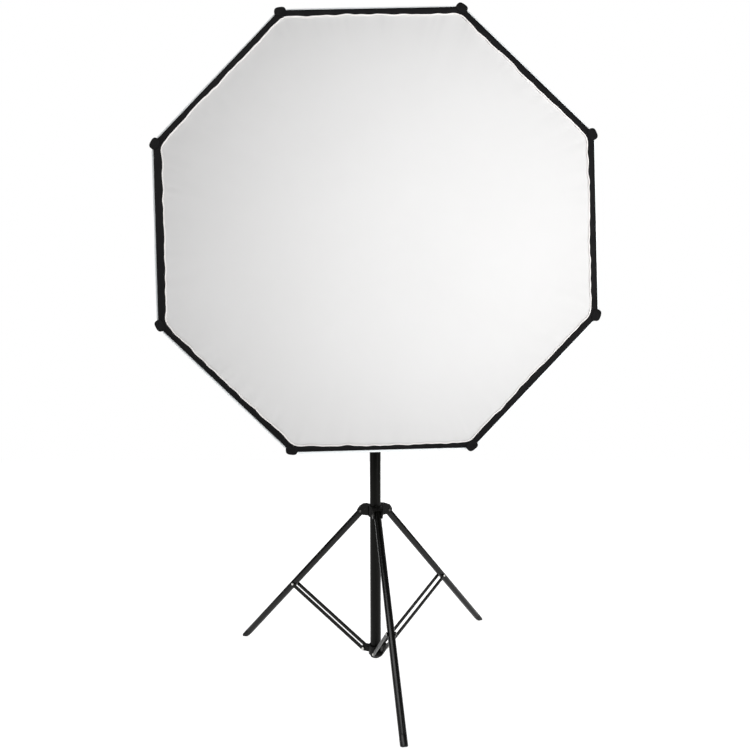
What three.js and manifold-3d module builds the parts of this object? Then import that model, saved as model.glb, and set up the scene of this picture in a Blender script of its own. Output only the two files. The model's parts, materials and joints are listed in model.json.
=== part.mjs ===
// A studio softbox: an eight-sided softbox on a lamp head, on a three-legged telescopic light stand.
// Millimetres, +Z up. The floor is Z = 0, the column stands on the Z axis and the softbox faces -Y.
import * as THREE from "three";
import { mergeVertices } from "three/addons/utils/BufferGeometryUtils.js";
import Module from "manifold-3d";

const wasm = await Module();
wasm.setup();

const degrees = THREE.MathUtils.degToRad;
const GAP = 0.35; // clearance kept between neighbouring pieces

// ---- driving dimensions: the stand ----
const FRONT_LEG_AZIMUTH = 8.64; // degrees from straight ahead towards +X
const LEG_AZIMUTHS = {
  front: FRONT_LEG_AZIMUTH,
  right: FRONT_LEG_AZIMUTH + 120,
  left: FRONT_LEG_AZIMUTH - 120,
};
const FOOT_REACH = 492.5; // column axis to the middle of each foot
const LEG_PIVOT = { reach: 46.5, height: 494.1 };
const STRUT_PIVOT = { reach: 40.2, height: 33.7 };
const STRUT_ON_LEG = 0.5625; // where the strut meets the leg, as a share of the leg from its pivot
const LEG_RADIUS = 11;
const LEG_WALL = 1.5;
const LEG_OVERRUN = 9; // leg beyond its pivot
const FOOT_HEAD = 25; // rubber below the end of the leg tube
const BAR_SPACING = 26; // between the two bars of a strut
const BAR_THICKNESS = 2.5;
const BAR_WIDTH = 12;
const PIN_RADIUS = 3;
const PIN_HEAD_RADIUS = 4.5;
const RIVET = { radius: 4, height: 1.6 }; // joins a strut bar to the leg

const BASE_TUBE = { radius: 17.5, wall: 1.5, bottom: 14, top: 800 };
const MIDDLE_TUBE = { radius: 15, wall: 1.3, bottom: 250, top: 1006 };
const TOP_TUBE = { radius: 12.5, wall: 1.2, bottom: 427, top: 1127 };
const SPIGOT_RADIUS = 7.95;
const SHOULDER = { bottom: 479, top: 513, radius: 23 };
const BASE_COLLAR = { bottom: 19, top: 48, radius: 23 };
const CLEVIS_WALL = 4;
const LOCK_COLLAR = { wall: 6, below: 26, above: 24 }; // below and above the end of its tube
const SCREW_RADIUS = 4; // clamp screws
const SCREW_BOSS_RADIUS = 9;
const SCREW_RISE = 12; // clamp screw above the end of the lower tube
const KNOB = { radius: 13, length: 17, standoff: 8 };

// ---- driving dimensions: the lamp head ----
const TILT_HEIGHT = 1233.5; // tilt pivot above the floor
const AXIS_RISE = 80; // softbox axis above the tilt pivot
const PAN = 0.66; // degrees, softbox turned towards +X
const TILT = -4.23; // degrees, negative faces up
const ROLL = 1.25; // degrees, softbox turned about its own axis
const HOUSING = { radius: 60, wall: 2.5, back: -150, front: 58 };
const EAR = { inner: 7.4, outer: 13.4, radius: 13 };
const BOLT_RADIUS = 4;
const BOLT = { end: 23, headRadius: 7.5, headEnd: -20 };
const HANDLE = { hubRadius: 9, hubEnd: 28, rootRadius: 6, tipRadius: 4.5, length: 66, rest: 30 };
const RECEIVER = { top: -34, bottom: -84, radius: 14, bore: 8.3, screw: -63 }; // from the tilt pivot
const SOCKET_PLATE = { back: -66, front: -62, hole: 21 };
const REAR_COVER = { back: HOUSING.back - 12, radius: HOUSING.radius, wall: 4 };
const SWITCH = { x: -22, y: 14, width: 15, height: 21 };
const INLET = { x: 20, y: 10, width: 27, height: 20, wall: 1.6, flange: 3 };
const INSERT = { radius: 66, inner: 50, screw: 73, earTop: 84, earHalf: 10 };
const GLOBE = [[21, 60.4], [30, 72], [40, 100], [42, 130], [36, 160], [22, 178]];
const GLOBE_WALL = 1.5;
const GLOBE_TIP = 184;

// ---- driving dimensions: the softbox ----
const SIDES = 8;
const RIM_RADIUS = 609.5; // 48 inches across the corners
const RIM_DEPTH = 434.3; // rim plane ahead of the tilt pivot
const RIM_BAND = 16; // width of the black band along a side
const RIM_THICKNESS = 5;
const SPEEDRING = { inner: 54.4, outer: 78, back: 68, front: 91.6 };
const ROD_RADIUS = 2.5;
const ROD_ROOT = 64; // radius at which a rod bottoms in its socket
const ROD_SLOPE = 8; // degrees that a rod leans forward where it leaves its socket
const SHELL_WALL = 2.4;
const CORNER_SHARE = Math.cos(Math.PI / SIDES); // flat radius over corner radius
const FIRST_CORNER = 22.5; // degrees from +X
const ROOT_LENGTH = 40; // straight part of a rod beyond its socket
const BOW_REACH = 300; // how far the bow's control point lies beyond the root
const BOW_INSET = 12; // rod tip inside the rim's corner and behind its front
const BOW_STEPS = 10;
const POCKET = { over: 7, inside: 4, half: 15.5, proud: 3 }; // corner pockets on the rim band
const DIFFUSER = { inset: 11.5, behind: 0.8, thickness: 2 };
const BAFFLE = { depth: 320, radius: 400, thickness: 1.8, tieEnd: 506, tieWidth: 8 };

const PAST = 10; // how far a cutting tool runs past the solid that it cuts
const HOLE_SIDES = 12;

// ---- solids ----
function toSolid(geometry) {
  const loose = geometry.index ? geometry.toNonIndexed() : geometry;
  const bare = new THREE.BufferGeometry().setAttribute("position", loose.getAttribute("position"));
  const merged = mergeVertices(bare, 1e-4);
  return new wasm.Manifold(
    new wasm.Mesh({
      numProp: 3,
      vertProperties: merged.attributes.position.array,
      triVerts: new Uint32Array(merged.index.array),
    }),
  );
}

function toGeometry(solid) {
  const mesh = solid.getMesh();
  const geometry = new THREE.BufferGeometry();
  geometry.setAttribute("position", new THREE.BufferAttribute(new Float32Array(mesh.vertProperties), 3));
  geometry.setIndex(new THREE.BufferAttribute(new Uint32Array(mesh.triVerts), 1));
  const flat = geometry.toNonIndexed();
  flat.computeVertexNormals();
  return flat;
}

const join = (...parts) => toGeometry(parts.map(toSolid).reduce((sum, part) => sum.add(part)));
const cut = (body, ...tools) =>
  toGeometry(tools.map(toSolid).reduce((rest, tool) => rest.subtract(tool), toSolid(body)));

const block = (x0, x1, y0, y1, z0, z1) =>
  new THREE.BoxGeometry(x1 - x0, y1 - y0, z1 - z0).translate((x0 + x1) / 2, (y0 + y1) / 2, (z0 + z1) / 2);

// A solid turned about Z from a closed profile of [radius, height] points, given anticlockwise.
function turned(profile, sides = 20, start = 0) {
  const points = [...profile, profile[0]].map(([r, z]) => new THREE.Vector2(r, z));
  return new THREE.LatheGeometry(points, sides, start).rotateX(Math.PI / 2);
}

const cylinder = (radius, z0, z1, sides = 20) =>
  new THREE.CylinderGeometry(radius, radius, z1 - z0, sides)
    .rotateX(Math.PI / 2)
    .translate(0, 0, (z0 + z1) / 2);

const pipe = (outer, inner, z0, z1, sides = 24) =>
  turned([[inner, z0], [outer, z0], [outer, z1], [inner, z1]], sides);

const alongX = (geometry) => geometry.rotateY(Math.PI / 2);
const alongY = (geometry) => geometry.rotateX(-Math.PI / 2);

// Cutting tools: a pin's hole along X, and a clamp screw's hole along Y.
const PIN_TOOL = 20;
const pinTool = () => alongX(cylinder(PIN_RADIUS + GAP, -PIN_TOOL, PIN_TOOL, 10));
const screwTool = (from, to, height) =>
  alongY(cylinder(SCREW_RADIUS + GAP, from, to, HOLE_SIDES)).translate(0, 0, height);

// A clamping knob along +Z: a plain shank from z0 to z1, then a head with grip flutes.
function lockKnob(z0, z1, headRadius = KNOB.radius) {
  const outline = new THREE.Shape();
  const lobes = 6;
  const steps = lobes * 3;
  const flute = 0.12; // depth of the flutes, as a share of the radius
  for (let i = 0; i < steps; i += 1) {
    const angle = (i / steps) * Math.PI * 2;
    const radius = headRadius * (1 - flute + flute * Math.cos(angle * lobes));
    const point = [radius * Math.cos(angle), radius * Math.sin(angle)];
    if (i === 0) outline.moveTo(...point);
    else outline.lineTo(...point);
  }
  const head = new THREE.ExtrudeGeometry(outline, { depth: KNOB.length, bevelEnabled: false });
  return join(cylinder(SCREW_RADIUS, z0, z1 + 1, HOLE_SIDES), head.translate(0, 0, z1));
}

// ---- the scene ----
const root = new THREE.Group();

function group(parent, { x = 0, y = 0, z = 0, turnX = 0, turnZ = 0 } = {}) {
  const made = new THREE.Group();
  made.position.set(x, y, z);
  made.rotation.set(degrees(turnX), 0, degrees(turnZ));
  parent.add(made);
  return made;
}

const FINISHES = {
  anodised: { color: 0x1b1b17, roughness: 0.42, metalness: 0.6 },
  casting: { color: 0x161614, roughness: 0.5, metalness: 0.1 },
  steel: { color: 0x1d1d1a, roughness: 0.4, metalness: 0.7 },
  rivet: { color: 0xc9c9c6, roughness: 0.3, metalness: 0.9 },
  rubber: { color: 0x101010, roughness: 0.8, metalness: 0 },
  plastic: { color: 0x141414, roughness: 0.55, metalness: 0 },
  aluminium: { color: 0xb9bbbd, roughness: 0.35, metalness: 0.9 },
  ceramic: { color: 0xe8e6df, roughness: 0.4, metalness: 0 },
  glass: { color: 0xf2f1ea, roughness: 0.25, metalness: 0 },
  blackCloth: { color: 0x141416, roughness: 0.9, metalness: 0 },
  whiteCloth: { color: 0xeeecec, roughness: 0.9, metalness: 0 },
};

function piece(parent, name, geometry, finish) {
  const mesh = new THREE.Mesh(geometry, new THREE.MeshStandardMaterial(FINISHES[finish]));
  mesh.name = name;
  parent.add(mesh);
}

// ---- legs, struts and their pins ----
const legRun = {
  out: FOOT_REACH - LEG_PIVOT.reach,
  down: LEG_PIVOT.height,
};
const LEG_LENGTH = Math.hypot(legRun.out, legRun.down);
const LEG_LEAN = Math.atan2(legRun.out, legRun.down);
const strutTop = {
  reach: LEG_PIVOT.reach + legRun.out * STRUT_ON_LEG,
  height: LEG_PIVOT.height - legRun.down * STRUT_ON_LEG,
};
const strutRun = {
  out: strutTop.reach - STRUT_PIVOT.reach,
  up: strutTop.height - STRUT_PIVOT.height,
};
const STRUT_LENGTH = Math.hypot(strutRun.out, strutRun.up);
const STRUT_LEAN = Math.atan2(strutRun.out, strutRun.up);

// In a leg's own group the leg lies in the YZ plane and runs out towards -Y.
const ontoLeg = (geometry) => geometry.rotateX(-LEG_LEAN).translate(0, -LEG_PIVOT.reach, LEG_PIVOT.height);

function legTube() {
  const top = LEG_OVERRUN;
  const bottom = FOOT_HEAD - LEG_LENGTH;
  const tube = pipe(LEG_RADIUS, LEG_RADIUS - LEG_WALL, bottom, top, 16);
  return ontoLeg(cut(tube, pinTool()));
}

function rubberFoot() {
  const top = FOOT_HEAD - LEG_LENGTH - GAP;
  const plugRadius = LEG_RADIUS - LEG_WALL - GAP;
  const plugLength = 30;
  const tip = 6; // rubber beyond the middle of the pad, before the floor trims it
  const blank = join(
    cylinder(LEG_RADIUS, -LEG_LENGTH - tip, top, 16),
    cylinder(plugRadius, top - 1, top + plugLength, 12),
  );
  const reach = 60; // half size of the block that trims the foot at the floor
  const belowFloor = block(-reach, reach, -FOOT_REACH - reach, -FOOT_REACH + reach, -reach, 0);
  return cut(ontoLeg(blank), belowFloor);
}

function strutBar(side) {
  const middle = (side * BAR_SPACING) / 2;
  const outline = new THREE.Shape();
  const half = BAR_WIDTH / 2;
  outline.moveTo(-half, 0);
  outline.absarc(0, 0, half, Math.PI, Math.PI * 2, false);
  outline.lineTo(half, STRUT_LENGTH);
  outline.absarc(0, STRUT_LENGTH, half, 0, Math.PI, false);
  const settings = { depth: BAR_THICKNESS, bevelEnabled: false, curveSegments: 4 };
  const bar = new THREE.ExtrudeGeometry(outline, settings)
    .rotateY(Math.PI / 2)
    .rotateX(Math.PI / 2)
    .translate(middle - BAR_THICKNESS / 2, 0, 0);
  const outside = middle + (side * BAR_THICKNESS) / 2;
  const rivetHead = alongX(cylinder(RIVET.radius, -RIVET.height, RIVET.height, 10))
    .translate(outside, 0, STRUT_LENGTH);
  return cut(join(bar, rivetHead), pinTool().translate(middle, 0, 0))
    .rotateX(STRUT_LEAN)
    .translate(0, -STRUT_PIVOT.reach, STRUT_PIVOT.height);
}

// A pin along X with a domed head on each end, outside a pair of walls whose outer faces are at +-grip.
function headedPin(grip, { y, z }) {
  const end = grip + GAP;
  const edge = PIN_HEAD_RADIUS;
  const half = [[0, end + 2.4], [edge * 0.6, end + 2.2], [edge, end + 1], [edge, end]];
  const shank = [[PIN_RADIUS, end], [PIN_RADIUS, -end]];
  const other = half.map(([r, z0]) => [r, -z0]).reverse();
  const profile = [...half, ...shank, ...other].reverse().map(([r, h]) => new THREE.Vector2(r, h));
  return alongX(new THREE.LatheGeometry(profile, 10).rotateX(Math.PI / 2)).translate(0, y, z);
}

for (const [name, azimuth] of Object.entries(LEG_AZIMUTHS)) {
  const plane = group(root, { turnZ: azimuth });
  piece(plane, `leg_${name}`, legTube(), "anodised");
  piece(plane, `foot_${name}`, rubberFoot(), "rubber");
  piece(plane, `strut_bar_${name}_a`, strutBar(-1), "steel");
  piece(plane, `strut_bar_${name}_b`, strutBar(1), "steel");
  const legPin = { y: -LEG_PIVOT.reach, z: LEG_PIVOT.height };
  piece(plane, `leg_pin_${name}`, headedPin(LEG_RADIUS + GAP + CLEVIS_WALL, legPin), "rivet");
  const strutPin = { y: -STRUT_PIVOT.reach, z: STRUT_PIVOT.height };
  piece(plane, `strut_pin_${name}`, headedPin((BAR_SPACING + BAR_THICKNESS) / 2, strutPin), "rivet");
}

// ---- the collars on the column ----

// One clevis of the shoulder: two walls beside the leg and a hood over its end.
function shoulderClevis() {
  const inner = LEG_RADIUS + GAP;
  const outer = inner + CLEVIS_WALL;
  const { reach, height } = LEG_PIVOT;
  const nose = 12; // radius of the clevis round its pin
  const root = 19; // inside the sleeve, so that the two join
  const hood = 36; // reach of the hood's highest edge
  const outline = new THREE.Shape();
  outline.moveTo(root, SHOULDER.bottom + 3);
  outline.lineTo(reach, height - nose);
  outline.absarc(reach, height, nose, -Math.PI / 2, Math.PI * 0.2, false);
  outline.lineTo(reach + 2, SHOULDER.top - 0.5);
  outline.lineTo(hood, SHOULDER.top + 2);
  outline.lineTo(root, SHOULDER.top - 1);
  const settings = { depth: 2 * outer, bevelEnabled: false, curveSegments: 5 };
  const solid = new THREE.ExtrudeGeometry(outline, settings)
    .translate(0, 0, -outer)
    .rotateX(Math.PI / 2)
    .rotateZ(-Math.PI / 2);
  const legReach = Math.hypot(LEG_OVERRUN, LEG_RADIUS) + 2 * GAP;
  const below = height - 40; // well under the casting
  const slot = join(
    alongX(cylinder(legReach, -inner, inner, 20)).translate(0, -reach, height),
    block(-inner, inner, -reach - 30, -reach, below, height + 8),
    block(-inner, inner, -reach - legReach, -reach + legReach, below, height),
  );
  return cut(solid, slot, pinTool().translate(0, -reach, height));
}

function shoulderCollar() {
  const clevises = Object.values(LEG_AZIMUTHS).map((a) => shoulderClevis().rotateZ(degrees(a)));
  const middle = (SHOULDER.bottom + SHOULDER.top) / 2;
  const boss = alongY(cylinder(SCREW_BOSS_RADIUS, BASE_TUBE.radius + 1.5, SHOULDER.radius + 7, 16))
    .translate(0, 0, middle)
    .rotateZ(degrees(FRONT_LEG_AZIMUTH));
  const screwHole = screwTool(PAST, 4 * PAST, middle).rotateZ(degrees(FRONT_LEG_AZIMUTH));
  const bore = cylinder(BASE_TUBE.radius + GAP, SHOULDER.bottom - PAST, SHOULDER.top + PAST, 24);
  const sleeve = cylinder(SHOULDER.radius, SHOULDER.bottom, SHOULDER.top, 24);
  return cut(join(sleeve, boss, ...clevises), bore, screwHole);
}

function baseCollar() {
  const earHalf = (BAR_SPACING - BAR_THICKNESS) / 2 - GAP;
  const earRadius = 8;
  const root = 19; // inside the sleeve, so that the two join
  const ears = Object.values(LEG_AZIMUTHS).map((azimuth) => {
    const { reach, height } = STRUT_PIVOT;
    const ear = join(
      block(-earHalf, earHalf, -reach, -root, height - earRadius, height + earRadius),
      alongX(cylinder(earRadius, -earHalf, earHalf, 12)).translate(0, -reach, height),
    );
    return cut(ear, pinTool().translate(0, -reach, height)).rotateZ(degrees(azimuth));
  });
  const sleeve = cylinder(BASE_COLLAR.radius, BASE_COLLAR.bottom, BASE_COLLAR.top, 24);
  const bore = cylinder(BASE_TUBE.radius + GAP, BASE_COLLAR.bottom - PAST, BASE_COLLAR.top + PAST, 24);
  return cut(join(sleeve, ...ears), bore);
}

// A collar on the top end of one tube that grips the thinner tube above it with a screw at the back.
function lockCollar(lower, upper) {
  const outer = lower.radius + LOCK_COLLAR.wall;
  const chamfer = 3;
  const { top } = lower;
  const low = top - LOCK_COLLAR.below;
  const high = top + LOCK_COLLAR.above;
  const body = turned([
    [upper.radius + GAP, top + GAP],
    [lower.radius + GAP, top + GAP],
    [lower.radius + GAP, low],
    [outer - chamfer / 2, low],
    [outer, low + 4],
    [outer, high - 4],
    [outer - chamfer, high],
    [upper.radius + GAP, high],
  ]);
  const height = top + SCREW_RISE;
  const boss = alongY(cylinder(SCREW_BOSS_RADIUS, upper.radius + 1, outer + 5, HOLE_SIDES))
    .translate(0, 0, height);
  const bore = cylinder(upper.radius + GAP, low - PAST, high + PAST);
  return cut(join(body, boss), bore, screwTool(PAST / 2, 6 * PAST, height));
}

const clampKnob = (tubeRadius, outer, height) =>
  alongY(lockKnob(tubeRadius + GAP, outer + KNOB.standoff)).translate(0, 0, height);

piece(root, "base_tube", pipe(BASE_TUBE.radius, BASE_TUBE.radius - BASE_TUBE.wall,
  BASE_TUBE.bottom, BASE_TUBE.top), "anodised");
const PLUG = { bottom: 7, flatRadius: 11, edge: 11, top: 30 };
const plugRadius = BASE_TUBE.radius - BASE_TUBE.wall - GAP;
piece(root, "bottom_plug", turned([
  [0, PLUG.bottom],
  [PLUG.flatRadius, PLUG.bottom],
  [BASE_TUBE.radius, PLUG.edge],
  [BASE_TUBE.radius, BASE_TUBE.bottom - GAP],
  [plugRadius, BASE_TUBE.bottom - GAP],
  [plugRadius, PLUG.top],
  [0, PLUG.top],
], 16), "rubber");
piece(root, "base_collar", baseCollar(), "casting");
piece(root, "shoulder_collar", shoulderCollar(), "casting");
const shoulderKnob = clampKnob(BASE_TUBE.radius, SHOULDER.radius, (SHOULDER.bottom + SHOULDER.top) / 2);
piece(root, "shoulder_knob", shoulderKnob.rotateZ(degrees(FRONT_LEG_AZIMUTH)), "plastic");
piece(root, "base_lock_collar", lockCollar(BASE_TUBE, MIDDLE_TUBE), "casting");
const lockKnobFor = (lower, upper) =>
  clampKnob(upper.radius, lower.radius + LOCK_COLLAR.wall, lower.top + SCREW_RISE);
piece(root, "base_lock_knob", lockKnobFor(BASE_TUBE, MIDDLE_TUBE), "plastic");
piece(root, "middle_tube", pipe(MIDDLE_TUBE.radius, MIDDLE_TUBE.radius - MIDDLE_TUBE.wall,
  MIDDLE_TUBE.bottom, MIDDLE_TUBE.top), "anodised");
piece(root, "middle_lock_collar", lockCollar(MIDDLE_TUBE, TOP_TUBE), "casting");
piece(root, "middle_lock_knob", lockKnobFor(MIDDLE_TUBE, TOP_TUBE), "plastic");
piece(root, "top_tube", pipe(TOP_TUBE.radius, TOP_TUBE.radius - TOP_TUBE.wall,
  TOP_TUBE.bottom, TOP_TUBE.top), "anodised");

// ---- the stud on top of the column ----
const STUD_TOP = TILT_HEIGHT - 42;
const STUD = { plug: 30, flange: 6, groove: [36, 34, 20, 18], grooveDepth: 2 };
const studPlugRadius = TOP_TUBE.radius - TOP_TUBE.wall - GAP;
const grooveRadius = SPIGOT_RADIUS - STUD.grooveDepth;
const [grooveA, grooveB, grooveC, grooveD] = STUD.groove.map((below) => STUD_TOP - below);
piece(root, "top_stud", turned([
  [0, TOP_TUBE.top - STUD.plug],
  [studPlugRadius, TOP_TUBE.top - STUD.plug],
  [studPlugRadius, TOP_TUBE.top + GAP],
  [TOP_TUBE.radius + 1, TOP_TUBE.top + GAP],
  [TOP_TUBE.radius + 1, TOP_TUBE.top + STUD.flange],
  [SPIGOT_RADIUS, TOP_TUBE.top + STUD.flange],
  [SPIGOT_RADIUS, grooveA],
  [grooveRadius, grooveB],
  [grooveRadius, grooveC],
  [SPIGOT_RADIUS, grooveD],
  [SPIGOT_RADIUS, STUD_TOP],
  [0, STUD_TOP],
], 16), "aluminium");

// ---- the stand bracket: it turns on the stud, and the lamp head tilts between its ears ----
const pan = group(root, { z: TILT_HEIGHT, turnZ: PAN });
const boltTool = () => alongX(cylinder(BOLT_RADIUS + GAP, -PIN_TOOL, PIN_TOOL, HOLE_SIDES));

function standBracket() {
  const ears = [-1, 1].map((side) => {
    const low = side < 0 ? -EAR.outer : EAR.inner;
    const high = side < 0 ? -EAR.inner : EAR.outer;
    return join(
      alongX(cylinder(EAR.radius, low, high, 20)),
      block(low, high, -EAR.radius, EAR.radius, RECEIVER.top + 4, 0),
    );
  });
  const bridgeTop = RECEIVER.top + 12;
  const boreTop = RECEIVER.top - 4;
  const bridge = block(-EAR.outer, EAR.outer, -EAR.radius, EAR.radius, RECEIVER.top, bridgeTop);
  const socket = cylinder(RECEIVER.radius, RECEIVER.bottom, RECEIVER.top + 2, 24);
  const bore = cylinder(RECEIVER.bore, RECEIVER.bottom - PAST, boreTop, 20);
  const screwHole = screwTool(0, 3 * PAST, RECEIVER.screw);
  return cut(join(...ears, bridge, socket), bore, boltTool(), screwHole);
}

function tiltHandle() {
  const hub = alongX(cylinder(HANDLE.hubRadius, EAR.outer + GAP, HANDLE.hubEnd, 16));
  const middle = (EAR.outer + HANDLE.hubEnd + 2.6) / 2;
  const arm = new THREE.CylinderGeometry(HANDLE.tipRadius, HANDLE.rootRadius, HANDLE.length, 12)
    .rotateX(Math.PI / 2)
    .translate(middle, 0, -HANDLE.length / 2 - 3)
    .rotateX(degrees(HANDLE.rest));
  const bore = alongX(cylinder(BOLT_RADIUS + GAP, 0, BOLT.end + 1, HOLE_SIDES));
  return cut(join(hub, arm), bore);
}

piece(pan, "stand_bracket", standBracket(), "casting");
const bracketKnob = lockKnob(SPIGOT_RADIUS + GAP, RECEIVER.radius + 12);
piece(pan, "bracket_knob", alongY(bracketKnob).translate(0, 0, RECEIVER.screw), "plastic");
piece(pan, "tilt_bolt", alongX(join(
  cylinder(BOLT_RADIUS, -EAR.outer - 2, BOLT.end, HOLE_SIDES),
  cylinder(BOLT.headRadius, BOLT.headEnd, -EAR.outer - GAP, 6),
)), "rivet");
piece(pan, "tilt_handle", tiltHandle(), "plastic");

// ---- the lamp head: local Z runs forward along the softbox axis, local Y is up ----
const tilted = group(pan, { turnX: TILT });
const head = group(tilted, { z: AXIS_RISE, turnX: 90 });

function headFoot() {
  const half = EAR.inner - GAP;
  const rail = { half: 12, back: -45, front: 40, bottom: 14 - AXIS_RISE };
  const inHousing = -50; // inside the housing's outline, which trims the foot
  const lug = join(
    alongX(cylinder(EAR.radius, -half, half, 20)).translate(0, -AXIS_RISE, 0),
    block(-half, half, -AXIS_RISE, inHousing, -EAR.radius, EAR.radius),
    block(-rail.half, rail.half, rail.bottom, inHousing, rail.back, rail.front),
  );
  const housing = cylinder(HOUSING.radius + 0.8, -60, 60, 28);
  return cut(lug, housing, boltTool().translate(0, -AXIS_RISE, 0));
}

// A block round a fitting on the back of the lamp, grown sideways by a margin.
const around = ({ x, y, width, height }, grow, back, front) => block(
  x - width / 2 - grow, x + width / 2 + grow,
  y - height / 2 - grow, y + height / 2 + grow,
  back, front,
);
const window = (fitting) => around(fitting, GAP, REAR_COVER.back - PAST, HOUSING.back + PAST / 2);

function rearCover() {
  const { back, radius, wall } = REAR_COVER;
  const lip = HOUSING.radius - HOUSING.wall; // inside of the housing, where the cover's lip fits
  const lipEnd = HOUSING.back + 6;
  const cap = turned([
    [0, back],
    [radius - 8, back],
    [radius, back + 6],
    [radius, HOUSING.back - GAP],
    [lip - GAP, HOUSING.back - GAP],
    [lip - GAP, lipEnd],
    [lip - wall, lipEnd],
    [lip - wall, back + wall],
    [0, back + wall],
  ], 28);
  return cut(cap, window(SWITCH), window(INLET));
}

// The rocker is a round-backed slab, so that it turns inside its window.
function rocker() {
  const radius = SWITCH.height / 2 - 0.3;
  return alongX(cylinder(radius, -SWITCH.width / 2, SWITCH.width / 2, 24))
    .translate(SWITCH.x, SWITCH.y, REAR_COVER.back + 8);
}

function powerInlet() {
  const { x, y } = INLET;
  const { back } = REAR_COVER;
  const mouthDepth = 17;
  const body = around(INLET, 0, back - 1, back + mouthDepth + 7);
  const flange = around(INLET, INLET.flange, back - 2.5, back - GAP);
  const mouth = around(INLET, -INLET.wall, back - PAST, back + mouthDepth);
  const blades = [[-7, 1], [0, 4.5], [7, 1]].map(([dx, dy]) =>
    block(x + dx - 1, x + dx + 1, y + dy - 2, y + dy + 2, back + 3, back + mouthDepth + 2));
  return join(cut(join(body, flange), mouth), ...blades);
}

function speedringInsert() {
  const back = HOUSING.front + GAP;
  const step = SPEEDRING.back - GAP;
  const sleeve = turned([
    [INSERT.inner, back],
    [INSERT.radius, back],
    [INSERT.radius, step],
    [SPEEDRING.inner - GAP, step],
    [SPEEDRING.inner - GAP, SPEEDRING.front],
    [INSERT.inner, SPEEDRING.front],
  ], 28);
  const ear = block(-INSERT.earHalf, INSERT.earHalf, HOUSING.radius, INSERT.earTop, back, step);
  const screwHole = cylinder(SCREW_RADIUS + GAP, back - PAST, step + PAST, HOLE_SIDES)
    .translate(0, INSERT.screw, 0);
  return cut(join(sleeve, ear), screwHole);
}

piece(head, "head_foot", headFoot(), "casting");
piece(head, "lamp_housing",
  pipe(HOUSING.radius, HOUSING.radius - HOUSING.wall, HOUSING.back, HOUSING.front, 28), "steel");
piece(head, "rear_cover", rearCover(), "plastic");
piece(head, "power_switch", rocker(), "plastic");
piece(head, "power_inlet", powerInlet(), "plastic");
piece(head, "socket_plate", pipe(HOUSING.radius - HOUSING.wall - GAP, SOCKET_PLATE.hole,
  SOCKET_PLATE.back, SOCKET_PLATE.front, 28), "aluminium");
piece(head, "lamp_socket", turned([
  [0, -74], [20, -74], [20, -20], [14.5, -20], [14.5, -54], [0, -54],
], 16), "ceramic");
piece(head, "lamp_ballast", turned([
  [0, -50], [13.3, -50], [13.3, -16], [20, -10], [27, 20], [27, 56], [22, 60], [0, 60],
], 16), "plastic");
piece(head, "lamp_globe", turned([
  ...GLOBE,
  [0, GLOBE_TIP],
  [0, GLOBE_TIP - GLOBE_WALL],
  ...GLOBE.map(([r, z]) => [r - GLOBE_WALL, z]).reverse(),
], 16), "glass");
piece(head, "speedring_insert", speedringInsert(), "aluminium");
piece(head, "retaining_ring",
  pipe(INSERT.inner + 12, INSERT.inner, SPEEDRING.front + GAP, SPEEDRING.front + 4.4, 28), "aluminium");
piece(head, "ring_lock_knob",
  lockKnob(0, 28, 12).rotateX(Math.PI).translate(0, INSERT.screw, SPEEDRING.back - GAP), "plastic");

// ---- the softbox: everything that turns with the speedring ----
const box = group(head, { turnZ: ROLL });
const cornerAngles = Array.from({ length: SIDES }, (_, i) => degrees(FIRST_CORNER + (i * 360) / SIDES));
// A lathe starts its turn a quarter turn from +X once it stands along Z.
const octagonal = (profile) => turned(profile, SIDES, degrees(FIRST_CORNER));

// The line of a rod in its own plane, as [radius, depth]: a straight root, then one smooth bow.
const rodMiddle = (SPEEDRING.back + SPEEDRING.front) / 2;
const slope = degrees(ROD_SLOPE);
const rodStart = new THREE.Vector2(ROD_ROOT, rodMiddle);
const lean = new THREE.Vector2(Math.cos(slope), Math.sin(slope));
const bowStart = rodStart.clone().addScaledVector(lean, ROOT_LENGTH);
const bowPull = bowStart.clone().addScaledVector(lean, BOW_REACH);
const bowEnd = new THREE.Vector2(RIM_RADIUS - BOW_INSET, RIM_DEPTH - BOW_INSET);
const bow = new THREE.QuadraticBezierCurve(bowStart, bowPull, bowEnd);

function rod(angle) {
  const line = [rodStart, ...bow.getPoints(BOW_STEPS)];
  const path = new THREE.CatmullRomCurve3(
    line.map((p) => new THREE.Vector3(p.x * Math.cos(angle), p.x * Math.sin(angle), p.y)),
  );
  const section = new THREE.Shape(
    new THREE.EllipseCurve(0, 0, ROD_RADIUS, ROD_RADIUS).getPoints(6).slice(0, 6),
  );
  return new THREE.ExtrudeGeometry(section, { steps: 10, extrudePath: path, bevelEnabled: false });
}

function speedring() {
  const ring = pipe(SPEEDRING.outer, SPEEDRING.inner, SPEEDRING.back, SPEEDRING.front, 32);
  const sockets = cornerAngles.map((angle) =>
    cylinder(ROD_RADIUS + 2 * GAP, -2, 30, 8)
      .rotateY(Math.PI / 2 - slope)
      .translate(ROD_ROOT, 0, rodMiddle)
      .rotateZ(angle));
  return cut(ring, ...sockets);
}

// Points of the bow moved sideways, away from the inside of the softbox.
const offsetBow = (distance, shares) =>
  shares.map((t) => {
    const p = bow.getPoint(t);
    const along = bow.getTangent(t);
    return [p.x + along.y * distance, p.y - along.x * distance];
  });

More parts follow.
